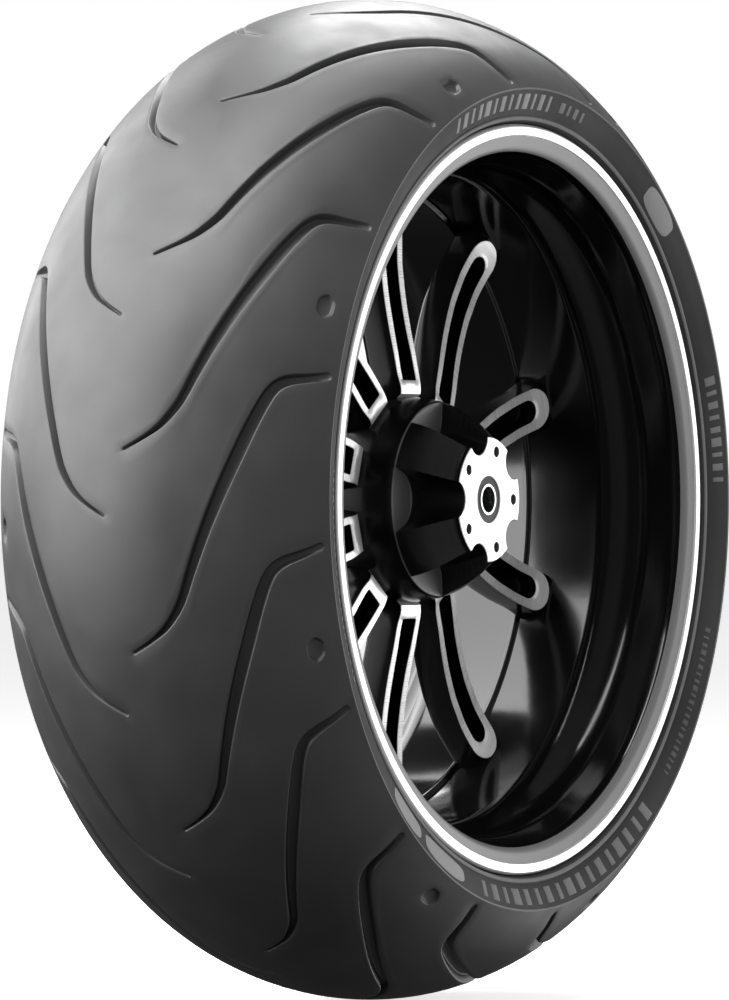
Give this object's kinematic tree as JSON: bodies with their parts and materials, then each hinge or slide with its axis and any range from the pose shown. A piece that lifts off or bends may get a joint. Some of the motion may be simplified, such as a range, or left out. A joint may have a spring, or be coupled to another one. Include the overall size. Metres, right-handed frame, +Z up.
{
  "type": "motorcycle rear wheel with tire",
  "caption": "Wide low-profile radial motorcycle tire with a swept groove tread, mounted on a cast rear wheel with slotted spokes and a fluted hub.",
  "frame": {"origin": "centre of the wheel, on the axle line, midway between the rim flanges", "axes": "+Y along the axle towards the left side of the motorcycle, +Z up, +X forward"},
  "size_m": [0.649, 0.24, 0.6488],
  "materials": {
    "tread_rubber": "satin",
    "sidewall_rubber": "matt",
    "hidden_rubber": "matt",
    "belt_cord": "woven cord in rubber",
    "carcass_cord": "woven cord in rubber",
    "bead_wire": "brass-plated wire",
    "wheel_black": "gloss black powder coat with machined faces",
    "bearing_steel": "ground",
    "ball_steel": "polished",
    "cage_brass": "satin",
    "shield_steel": "satin",
    "seal_rubber": "matt",
    "collar_steel": "turned",
    "spacer_steel": "zinc-plated",
    "valve_brass": "satin",
    "valve_steel": "plated",
    "valve_rubber": "matt",
    "cap_plastic": "moulded"
  },
  "bodies": {
    "axle_core": {"bearing_inner_race_right": "bearing_steel", "bearing_inner_race_left": "bearing_steel", "axle_collar_right": "collar_steel", "axle_collar_left": "collar_steel", "spacer_tube": "spacer_steel"},
    "wheel": {"tread_cap": "tread_rubber", "tread_base": "hidden_rubber", "belt_ply_outer": "belt_cord", "belt_ply_inner": "belt_cord", "carcass_ply": "carcass_cord", "inner_liner": "hidden_rubber", "sidewall_right": "sidewall_rubber", "chafer_right": "hidden_rubber", "bead_core_right": "bead_wire", "bead_filler_right": "hidden_rubber", "sidewall_left": "sidewall_rubber", "chafer_left": "hidden_rubber", "bead_core_left": "bead_wire", "bead_filler_left": "hidden_rubber", "rim_barrel": "wheel_black", "hub_shell": "wheel_black", "spoke_1": "wheel_black", "spoke_2": "wheel_black", "spoke_3": "wheel_black", "spoke_4": "wheel_black", "spoke_5": "wheel_black", "spoke_6": "wheel_black", "spoke_7": "wheel_black", "spoke_8": "wheel_black", "spoke_9": "wheel_black", "spoke_10": "wheel_black", "bearing_outer_race_right": "bearing_steel", "bearing_shields_right": "shield_steel", "dust_seal_right": "seal_rubber", "bearing_outer_race_left": "bearing_steel", "bearing_shields_left": "shield_steel", "dust_seal_left": "seal_rubber", "valve_stem": "valve_brass", "valve_grommet": "valve_rubber", "valve_nut": "valve_steel", "valve_core": "valve_brass", "valve_spring": "valve_steel"},
    "cage_right": {"bearing_balls_right": "ball_steel", "bearing_cage_right": "cage_brass"},
    "cage_left": {"bearing_balls_left": "ball_steel", "bearing_cage_left": "cage_brass"},
    "valve_pin": {"valve_core_pin": "valve_steel"},
    "valve_cap_body": {"valve_cap": "cap_plastic"}
  },
  "joints": [
    {"name": "wheel_spin", "type": "hinge", "parent": "axle_core", "child": "wheel", "pos_m": [0, 0, 0], "axis": [0, 1, 0], "continuous": true},
    {"name": "cage_spin_right", "type": "hinge", "parent": "axle_core", "child": "cage_right", "pos_m": [0, 0, 0], "axis": [0, 1, 0], "continuous": true},
    {"name": "cage_spin_left", "type": "hinge", "parent": "axle_core", "child": "cage_left", "pos_m": [0, 0, 0], "axis": [0, 1, 0], "continuous": true},
    {"name": "valve_press", "type": "slide", "parent": "wheel", "child": "valve_pin", "axis": [-1, 0, 0], "range_m": [0, 0.0012], "stiffness_N_per_m": 800, "springref_m": -0.0005},
    {"name": "valve_cap_off", "type": "slide", "parent": "wheel", "child": "valve_cap_body", "axis": [1, 0, 0], "range_m": [0, 0.012]}
  ],
  "couplings": [
    {"joint": "cage_spin_right", "follows": "wheel_spin", "ratio": 0.5745},
    {"joint": "cage_spin_left", "follows": "wheel_spin", "ratio": 0.5745}
  ]
}
